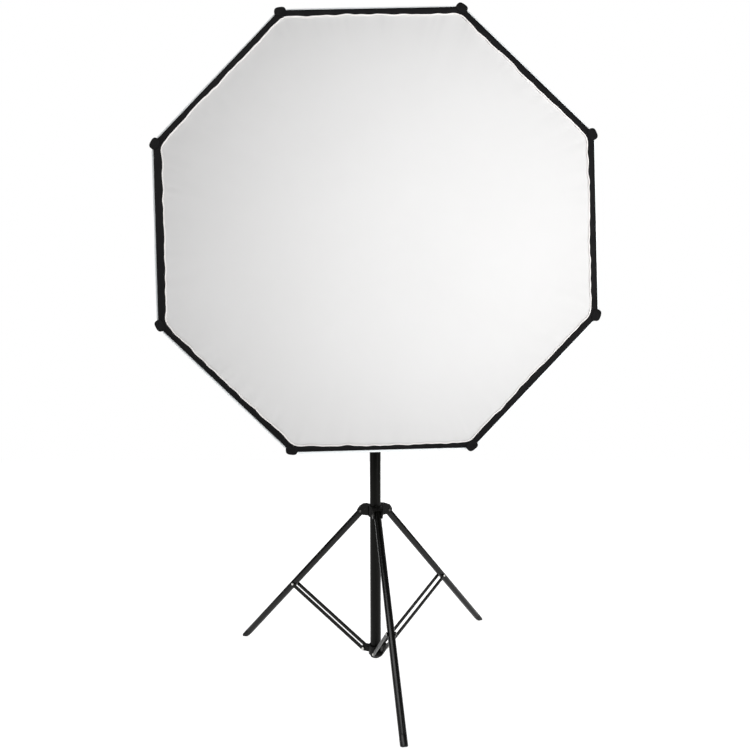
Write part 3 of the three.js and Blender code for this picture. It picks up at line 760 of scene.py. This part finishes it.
def fluted_head(radius, depth, lobes=7, steps=84):
    """A grip with soft lobes, domed on its outer face."""
    outline = []
    for i in range(steps):
        angle = 2 * math.pi * i / steps
        wave = 0.5 + 0.5 * math.cos(angle * lobes)
        r = radius * (0.87 + 0.13 * wave ** 0.6)
        outline.append((r * math.cos(angle), r * math.sin(angle)))
    seat = depth - 0.05 * MM
    cap = lathe([(0, seat)] + dome(radius * 0.55, 1.0 * MM, seat), 40)
    return joined([prism(outline, 0, depth, 1.2 * MM, 4), cap])


def make_knob(knob):
    """A clamp knob along its joint's axis: a moulded grip on a threaded steel screw."""
    origin, axis = joint_place(knob + "_turn")
    side = axis.orthogonal().normalized()
    place = basis(origin, side, axis.cross(side), axis)
    low, high = span(knob, place)
    depth = 17 * MM
    base = high.z - depth
    grip = moved(fluted_head(reach(knob, place) * 0.99, depth), Matrix.Translation((0, 0, base)))
    new_piece(knob + "_grip", grip, "moulded_plastic", knob, (knob,), place, 28.0)

    shank, thread, pitch = 4.0 * MM, 0.45 * MM, 1.25 * MM
    profile = [(0, low.z), (shank - 0.6 * MM, low.z), (shank, low.z + 0.8 * MM)]
    z = low.z + 1.2 * MM
    while z < base - pitch:
        profile += [(shank, z), (shank - thread, z + pitch / 2)]
        z += pitch
    end = base + 1 * MM
    profile += [(shank, base), (shank, end), (0, end)]
    new_piece(knob + "_grip_screw", lathe(profile, 24), "machined_metal", knob, place=place, sharp=25.0)


def make_stand():
    make_column()
    make_collars()
    for name in ("front", "right", "left"):
        make_leg(name)
        make_strut(name)
    for knob in ("shoulder_knob", "base_lock_knob", "middle_lock_knob"):
        make_knob(knob)


# -------- the head
def moulded(node, body, bevel, segments=3):
    refined(node + "_moulded", node, "moulded_plastic", body, bevel, segments)


def make_bracket():
    cast("stand_bracket", "pan_head")
    make_knob("bracket_knob")
    refined("tilt_bolt_turned", "tilt_bolt", "bright_rivet", "pan_head", 0.6 * MM)
    moulded("tilt_handle", "tilt_handle", 1.2 * MM, 4)
    cast("head_foot", "lamp_head")


def make_housing():
    """The lamp's housing: a tube with cooling grooves round its back and a shallow one near its front."""
    low, high = span("lamp_housing", HEAD)
    r = reach("lamp_housing", HEAD)
    inner = r - 2.5 * MM
    groove, shallow, pitch = r - 1.4 * MM, r - 0.8 * MM, 8.6 * MM
    profile = [(inner, low.z), (r, low.z)]
    for k in range(9):
        z = low.z + 14 * MM + k * pitch
        profile += [(r, z), (groove, z + 1.6 * MM), (groove, z + 3.6 * MM), (r, z + 5.2 * MM)]
    profile += [(r, high.z - 16 * MM), (shallow, high.z - 15 * MM), (shallow, high.z - 13.6 * MM),
                (r, high.z - 12.6 * MM), (r, high.z), (inner, high.z)]
    turned("lamp_housing_ribbed", profile, "painted_housing", "lamp_head", ("lamp_housing",),
           HEAD, 96, True, 0.8 * MM)


def make_lamp():
    make_housing()
    for node, look, slot in (
        ("socket_plate", "machined_metal", "bare_aluminium"),
        ("lamp_socket", "glazed_ceramic", "lamp_ceramic"),
        ("lamp_ballast", "lamp_plastic", "lamp_plastic"),
        ("lamp_globe", "frosted_glass", "lamp_glass"),
        ("retaining_ring", "machined_metal", "bare_aluminium"),
        ("speedring_insert", "machined_metal", "bare_aluminium"),
    ):
        refined(node + "_finished", node, look, "lamp_head", 0.5 * MM, 2)
    moulded("rear_cover", "lamp_head", 0.9 * MM)
    moulded("power_inlet", "lamp_head", 0.4 * MM, 2)
    moulded("power_switch", "power_switch", 0.8 * MM)
    make_knob("ring_lock_knob")
    make_cover_details()


def make_cover_details():
    """Screws and louvres on the back of the lamp."""
    back = span("rear_cover", HEAD)[0].z
    screw_ring, head = 44 * MM, 3.4 * MM
    flip = Matrix.Rotation(math.pi, 4, "X")
    screw = lathe([(0, -0.4 * MM), (head, -0.4 * MM)] + dome(head, 1.0 * MM, 0.5 * MM), 28)
    screws = []
    for k in range(4):
        angle = math.radians(45 + 90 * k)
        spot = (screw_ring * math.cos(angle), screw_ring * math.sin(angle), back + 0.1 * MM)
        screws.append(moved(screw, Matrix.Translation(spot) @ flip))
    new_piece("rear_cover_screws", joined(screws), "bright_rivet", "lamp_head", place=HEAD)

    end = 1 * MM
    louvres = []
    for k in range(7):
        y = (-16 - 3.6 * k) * MM
        half = (24 - 1.9 * k) * MM
        right = [(half + end * math.cos(a), end * math.sin(a)) for a in np.linspace(-QUARTER, QUARTER, 6)]
        outline = [(x, y + up) for x, up in right] + [(-x, y - up) for x, up in right]
        louvres.append(moved(prism(outline, -0.5 * MM, 0.5 * MM, 0.3 * MM), Matrix.Translation((0, 0, back))))
    new_piece("rear_cover_louvres", joined(louvres), "painted_housing", "lamp_head", place=HEAD)


# -------- the softbox
SIDES = 8
EIGHTH = 2 * math.pi / SIDES
FLAT_SHARE = math.cos(EIGHTH / 2)
RIM_RADIUS = (BAND_REACH + 8 * MM) / FLAT_SHARE  # the rim mounts sit half a band in from the edge
CORNERS = [EIGHTH / 2 + EIGHTH * k for k in range(SIDES)]

# Width of the black band on each side, from the right-hand side anticlockwise.
BAND_WIDTHS = [width * MM for width in (16, 16.5, 15.5, 15, 20.5, 15, 12.5, 17)]

CLOTH_OUT = 5.7 * MM  # from the middle of a rod to the outside of the shell
SHELL_MOUTH = 86 * MM  # corner radius of the shell's back opening
RODS = [f"rod_{k + 1}" for k in range(SIDES)]


def off_middle(angle):
    """Angle from the middle of the octagon's side that an angle is on."""
    return (angle + EIGHTH / 2) % EIGHTH - EIGHTH / 2


def octagon(angle, corner_radius):
    """Distance from the middle to the side of an octagon at an angle."""
    return corner_radius * FLAT_SHARE / math.cos(off_middle(angle))


def side_share(angle):
    """Which side an angle is on, and how far along it from -1 to 1."""
    return int(round(angle / EIGHTH)) % SIDES, math.tan(off_middle(angle)) / math.tan(EIGHTH / 2)


def soft_noise(x, y, z=0.0):
    return noise(Vector((x, y, z)))


def band_width(angle):
    """Width of the band, with shallow waves where the diffuser pulls it."""
    side, along = side_share(angle)
    here = BAND_WIDTHS[side]
    beside = BAND_WIDTHS[(side + (1 if along > 0 else -1)) % SIDES]
    blend = max(0.0, abs(along) - 0.82) / 0.36
    width = here * (1 - blend) + beside * blend
    long_wave = soft_noise(7.1 * side, 2.3 * along, 1.7) * 3.2 * MM
    short_wave = soft_noise(3.3 * side, 9.0 * along, 4.9) * 3.0 * MM
    return max(6 * MM, width + (long_wave + short_wave) * (1 - blend))


def inner_edge(angle):
    """Radius of the band's inner edge, its corners eased by the folded cloth."""
    ease = max(0.0, abs(side_share(angle)[1]) - 0.93) / 0.07
    radius = octagon(angle, RIM_RADIUS) - band_width(angle) / math.cos(off_middle(angle))
    return radius - 3.2 * MM * ease ** 2


AROUND = 768  # steps round the rim
ANGLES = [2 * math.pi * i / AROUND for i in range(AROUND)]
OUTER_EDGE = [octagon(a, RIM_RADIUS) for a in ANGLES]
INNER_EDGE = [inner_edge(a) for a in ANGLES]


def sheet_row(radii, depth, out=0.0):
    """One row round the rim, at radii moved outwards by out, and at a depth behind the front."""
    return [polar(a, r + out, -depth) for a, r in zip(ANGLES, radii)]


def add_uv(piece, uv_of):
    """UVs in metres for the weave, from each loop's vertex index and its place in the softbox."""
    mesh = piece.data
    inverse = SOFTBOX.inverted()
    layer = mesh.uv_layers.new(name="cloth")
    for loop in mesh.loops:
        index = loop.vertex_index
        layer.data[loop.index].uv = uv_of(index, inverse @ mesh.vertices[index].co)


def flat_uv(piece):
    add_uv(piece, lambda index, local: (local.x, local.y))


def make_rim():
    """The black binding: over the front, round the edge and a little down the outside."""
    edge, thick, puff = 2.0 * MM, 2.2 * MM, 1.6 * MM
    rows = [sheet_row(OUTER_EDGE, depth * MM, -inset * MM)
            for inset, depth in ((1.5, 16), (0.4, 10), (0, 5), (0, 3), (0.7, 1.4))]
    for share in (0.08, 0.2, 0.35, 0.5, 0.65, 0.8, 0.92):
        row = []
        for angle, outer, inner in zip(ANGLES, OUTER_EDGE, INNER_EDGE):
            side, along = side_share(angle)
            crease = soft_noise(5.0 * side + 1.3, 9.0 * along, 3.0 * share) * 1.1 * MM
            hump = math.sin(math.pi * share)
            z = puff * hump ** 0.6 * 0.5 + crease * hump - 1.2 * MM
            row.append(polar(angle, outer + (inner - outer) * share, z))
        rows.append(row)
    rows.append(sheet_row(INNER_EDGE, edge))
    rows.append(sheet_row(INNER_EDGE, edge + thick, 0.4 * MM))
    rows.append(sheet_row(INNER_EDGE, edge + thick + 1.2 * MM, 5 * MM))
    piece = softbox_piece("rim_binding", skin(rows), "rim_nylon", ("rim_band",), 60.0)
    flat_uv(piece)
    return piece


def make_edge_strip():
    """A pale strip that stands out a little beyond the binding on each side: a painted highlight along the rim's
    outer edge.
    """
    depth, start, taper = 9 * MM, 0.028, 0.012
    section = [(-3, -1.2), (4.4, -1.1), (5.6, -0.6), (5.9, 0), (5.6, 0.6), (4.4, 1.1), (-3, 1.2)]
    parts = []
    for k in range(SIDES):
        rows = []
        for s in np.linspace(start, 1 - start, 60):
            angle = CORNERS[k] + EIGHTH * s
            lift = soft_noise(3.0 * k + 0.5, 7.0 * s, 6.6) * 0.9 * MM
            end = min(1.0, min(s - 0.02, 0.98 - s) / taper)
            edge = octagon(angle, RIM_RADIUS)
            rows.append([polar(angle, edge + out * MM * end + lift * (out > 0), z * MM - depth)
                         for out, z in section])
        parts.append(skin(rows, capped=True))
    return softbox_piece("rim_edge_strip", joined(parts), "painted_rim_highlight", sharp=50.0)


def make_pocket(index, angle):
    """A folded pocket of webbing that takes a rod's tip: a soft pad over the corner with a stitched edge."""
    wide, tall, deep = 15.5 * MM, 11.5 * MM, 6.5 * MM
    squareness = 3.2
    count, rings = 40, 9
    seed = 11.7 * index
    points, faces = [], []
    for layer in (1, -1):
        for ring in range(rings + 1):
            share = ring / rings
            swell = (1 - share ** 4) ** 0.6
            seam = -0.55 * MM * math.exp(-((share - 0.8) / 0.05) ** 2)
            for k in range(count):
                a = 2 * math.pi * k / count
                c, s = math.cos(a), math.sin(a)
                corner = (abs(c) ** squareness + abs(s) ** squareness) ** (-1 / squareness)
                x = tall * c * corner * share
                y = wide * s * corner * share * (1 - 0.1 * (c > 0) * c)
                wrinkle = soft_noise(x * 140 + seed, y * 110, layer * 2.0) * 1.0 * MM * (1 - share ** 6)
                half = 0.35 * deep * swell + 0.6 * MM + seam
                points.append((x, y, layer * half + wrinkle * (0.6 if layer > 0 else 0.2)))
    per = (rings + 1) * count
    edge = rings * count
    for k in range(count):
        j = (k + 1) % count
        for first in range(0, edge, count):
            face = [first + k, first + count + k, first + count + j, first + j]
            faces.append(face)
            faces.append([per + v for v in reversed(face)])
        faces.append([edge + k, per + edge + k, per + edge + j, edge + j])
    spot = Matrix.Rotation(angle, 4, "Z") @ Matrix.Translation((RIM_RADIUS - 5.2 * MM, 0, 0.2 * MM))
    spot = spot @ Matrix.Rotation(0.28 * math.sin(seed), 4, "Z")
    piece = softbox_piece(f"corner_pocket_{index + 1}", moved((points, faces), spot), "webbing", sharp=70.0)
    flat_uv(piece)
    return piece


def make_diffuser():
    """The front diffuser: one taut sheet, puckered a little where its edge is fastened inside the binding."""
    rings = 72
    behind, bow, tuck = 4.6 * MM, 3.0 * MM, 2.5 * MM

    def point(angle, inner, share):
        side, along = side_share(angle)
        edge = (1 - share) * 0.56  # distance in from the edge
        pucker = soft_noise(6.0 * side + 2.0, 13.0 * along, 0.4) * 1.7 * MM * math.exp(-edge / 0.028)
        pull = soft_noise(4.0 * side, 5.0 * along, 8.1) * 1.6 * MM * math.exp(-edge / 0.09)
        x, y = share * math.cos(angle), share * math.sin(angle)
        drift = soft_noise(2.1 * x + 3.0, 2.1 * y, 5.5) * 2.2 * MM * (1 - share ** 3)
        return polar(angle, (inner + tuck) * share, pucker + pull + drift - bow * (1 - share ** 2) - behind)

    rows = []
    for k in range(1, rings + 1):
        share = 1 - (1 - k / rings) ** 1.25
        rows.append([point(angle, inner, share) for angle, inner in zip(ANGLES, INNER_EDGE)])
    part = disc(rows, point(0.0, 0.0, 0.0))
    nodes = ("front_diffuser",)
    piece = softbox_piece("diffuser_cloth", part, "diffusion_cloth", nodes, 60.0)
    flat_uv(piece)
    return piece


def make_hem():
    """The rolled white hem of the diffuser, which shows as a bright line inside the binding."""
    line = sheet_row(INNER_EDGE, 3.0 * MM, -1.3 * MM)
    return softbox_piece("diffuser_hem", ring_sweep(line, 1.7 * MM, 10), "hem_cord", sharp=80.0)


def rod_line(steps=48):
    """The line of a rod in its own plane, as (radius, depth) from the rim plane: straight, then bowed."""
    low, high = span("speedring", SOFTBOX)
    slope = math.radians(8)
    lean = Vector((math.cos(slope), math.sin(slope)))
    root = Vector((64 * MM, (low.z + high.z) / 2))
    start = root + lean * 40 * MM
    pull = start + lean * 300 * MM
    end = Vector((RIM_RADIUS - 12 * MM, -12 * MM))
    curve = [root]
    for k in range(steps + 1):
        t = k / steps
        curve.append(start * (1 - t) ** 2 + pull * 2 * t * (1 - t) + end * t * t)
    return curve


def make_rods(line):
    for name, angle in zip(RODS, CORNERS):
        bar = sweep([polar(angle, p.x, p.y) for p in line], 2.5 * MM, 14)
        softbox_piece(name + "_sprung", bar, "spring_steel", (name,))


def outward(line, i):
    """Direction away from the inside of the softbox, square to a rod's line at its point i."""
    ahead = heading(line, i)
    return Vector((ahead.y, -ahead.x))


def cloth_line(rods):
    """The line of the shell over a rod: from its mouth, along the rod and straight on to the rim."""
    line = [p + outward(rods, i) * CLOTH_OUT for i, p in enumerate(rods)]
    line = [p for p in line if p.x > SHELL_MOUTH]
    slope = (line[-1] - line[-2]).normalized()
    while line[-1].y < -8 * MM:
        line.append(line[-1] + slope * 4 * MM)
    return [Vector((SHELL_MOUTH, line[0].y))] + line


def make_shell(line):
    """The outer shell: one continuous sheet over the rods, pulled in between them, with a silver lining."""
    per_gore = 40
    total = len(line) - 1
    rows, uvs = [], []
    travelled = 0.0
    for n, p in enumerate(line):
        travelled += (p - line[max(n - 1, 0)]).length
        share = n / total
        out = outward(line, n)
        row = []
        for i in range(SIDES * per_gore):
            angle = CORNERS[0] + EIGHTH * i / per_gore
            side, within = i // per_gore, (i % per_gore) / per_gore
            hang = math.sin(math.pi * within) ** 0.8
            sag = 7.0 * MM * hang * math.sin(math.pi * min(1.0, share * 1.05)) ** 0.9
            ripple = soft_noise(side * 5.1 + 1.0, within * 5.0, share * 6.0) * 2.4 * MM * hang
            gather = soft_noise(side * 9.0, within * 16.0, 2.0) * 1.6 * MM * math.exp(-share / 0.09)
            inward = sag + ripple * (1 - share ** 4) + gather
            row.append(polar(angle, octagon(angle, p.x) - out.x * inward, p.y - out.y * inward))
            uvs.append(((within - 0.5) * 2 * p.x * math.sin(EIGHTH / 2), travelled))
        rows.append(row)
    piece = softbox_piece("shell_cloth", skin(rows), "black_nylon", ("shell",), 50.0)
    add_uv(piece, lambda index, local: uvs[index])
    piece.data.materials.append(MATERIALS["silver_lining"])
    wall = piece.modifiers.new("lining", "SOLIDIFY")
    wall.thickness = 1.4 * MM
    wall.offset = -1
    wall.material_offset = 1
    return piece


def make_seams(line):
    """A taped seam with a ridge down its middle, outside each rod."""
    section = [(-5, -2), (-4.6, 0.2), (-2.25, 0.9), (0, 1.5), (2.25, 0.9), (4.6, 0.2), (5, -2)]
    rows = []
    for n, p in enumerate(line):
        out = outward(line, n) * MM
        rows.append([(p.x + out.x * up, across * MM, p.y + out.y * up) for across, up in section])
    tape = skin(rows, capped=True)
    pieces = []
    for k, angle in enumerate(CORNERS):
        part = moved(tape, Matrix.Rotation(angle, 4, "Z"))
        pieces.append(softbox_piece(f"seam_tape_{k + 1}", part, "webbing", sharp=45.0))
        flat_uv(pieces[-1])
    return pieces


def make_back_hem(edge):
    """The elastic hem that gathers the shell behind the speedring."""
    around, gathers = 240, 60
    path = []
    for i in range(around):
        angle = 2 * math.pi * i / around
        r = octagon(angle, edge.x + 1.5 * MM) + 0.8 * MM * math.sin(angle * gathers)
        path.append(polar(angle, r, edge.y + 0.3 * MM * math.cos(angle * gathers)))
    return softbox_piece("shell_back_hem", ring_sweep(path, 2.4 * MM, 12), "webbing", sharp=80.0)


def make_baffle():
    """The inner baffle: a smaller sheet of the same cloth on eight elastic ties."""
    low, high = span("inner_baffle", SOFTBOX)
    depth = (low.z + high.z) / 2
    corner, tie_end, tie_overlap, hollow = 400 * MM, 506 * MM, 10 * MM, 9 * MM
    around, rings = 256, 24
    rows = []
    for k in range(1, rings + 1):
        share = k / rings
        row = []
        for i in range(around):
            a = 2 * math.pi * i / around
            along = side_share(a)[1]
            r = (octagon(a, corner) - hollow * (1 - along * along)) * share
            drift = soft_noise(2.2 * share * math.cos(a), 2.2 * share * math.sin(a), 9.0) * 3 * MM
            row.append(polar(a, r, depth + drift * (1 - share)))
        rows.append(row)
    part = disc(rows, (0, 0, depth))
    piece = softbox_piece("baffle_cloth", part, "baffle_cloth", ("inner_baffle",), 60.0)
    flat_uv(piece)
    ties = []
    for angle in CORNERS:
        line = [polar(angle, r, depth) for r in np.linspace(corner - tie_overlap, tie_end, 12)]
        ties.append(sweep(line, 1.6 * MM, 10))
    elastic = softbox_piece("baffle_ties", joined(ties), "webbing")


def make_softbox():
    rim = make_rim()
    strip = make_edge_strip()
    pockets = [make_pocket(k, angle) for k, angle in enumerate(CORNERS)]
    diffuser = make_diffuser()
    hem = make_hem()
    rods = rod_line()
    make_rods(rods)
    line = cloth_line(rods)
    shell = make_shell(line)
    seams = make_seams(line)
    back_hem = make_back_hem(line[0])
    make_baffle()
    refined("speedring_machined", "speedring", "machined_metal", "softbox", 0.6 * MM, 2)


# -------- the studio
def add_light(name, kind, power, location, target, **values):
    """A light of a kind, aimed at a target."""
    data = bpy.data.lights.new(name, kind)
    data.energy = power
    for key, value in values.items():
        setattr(data, key, value)
    light = bpy.data.objects.new(name, data)
    light.location = location
    light.rotation_euler = (Vector(target) - Vector(location)).to_track_quat("-Z", "Y").to_euler()
    bpy.context.scene.collection.objects.link(light)
    return light


def add_panel(name, power, location, target, size):
    return add_light(name, "AREA", power, location, target, shape="RECTANGLE", size=size[0], size_y=size[1])


def make_world(seen, lit):
    """A plain white studio: what the camera sees of it is brighter than what it adds to the light."""
    world = bpy.data.worlds.new("studio")
    world.use_nodes = True
    nodes, links = world.node_tree.nodes, world.node_tree.links
    background = nodes["Background"]
    background.inputs["Color"].default_value = (1, 1, 1, 1)
    path = nodes.new("ShaderNodeLightPath")
    strength = nodes.new("ShaderNodeMapRange")
    strength.inputs["To Min"].default_value = lit
    strength.inputs["To Max"].default_value = seen
    links.new(path.outputs["Is Camera Ray"], strength.inputs["Value"])
    links.new(strength.outputs["Result"], background.inputs["Strength"])
    bpy.context.scene.world = world


@surface((0.8, 0.8, 0.8), 0.9, Emission_Color=(1.0, 1.0, 1.0, 1.0), Emission_Strength=0.9)
def floor_paper(made):
    made.mottle(0.8, 3, (0.79, 0.79, 0.79), (0.82, 0.82, 0.82))


SQUARE = [(-1, -1), (1, -1), (1, 1), (-1, 1)]


def make_floor(half):
    """Pale seamless paper, just under the feet."""
    mesh = bpy.data.meshes.new("floor")
    mesh.from_pydata([(x * half, y * half, 0) for x, y in SQUARE], [], [[0, 1, 2, 3]])
    mesh.materials.append(MATERIALS["floor_paper"])
    floor = bpy.data.objects.new("floor", mesh)
    floor.location.z = -0.5 * MM
    bpy.context.scene.collection.objects.link(floor)


def make_studio():
    bpy.context.scene.view_settings.view_transform = "Standard"
    make_world(1.0, 0.115)
    make_floor(3.2)
    add_light("key", "SPOT", 229, (1.0, -2.7, 1.6), (0.18, -0.42, 1.38),
              spot_size=math.radians(50), spot_blend=1.0, shadow_soft_size=0.3)
    # A wide panel over the camera adds no diffuse light: it shows as a sheen on the glossy parts.
    panel = add_panel("overhead_panel", 90, (-1.1, -2.3, 2.6), (0.04, -0.3, 0.35), (3.6, 1.7))
    panel.visible_diffuse = False
    add_panel("left_strip", 4, (-2.4, -1.6, 0.9), (0, 0, 0.6), (0.3, 1.6))
    add_panel("right_strip", 8, (2.4, -1.9, 0.9), (0, 0, 0.6), (0.3, 1.6))
    add_panel("back_left", 30, (-1.8, 2.6, 2.4), (0, 0, 1.2), (1.6, 1.2))
    add_panel("back_right", 30, (2.2, 2.4, 2.0), (0, 0, 1.1), (1.2, 1.6))


make_stand()
make_bracket()
make_lamp()
make_softbox()
make_studio()
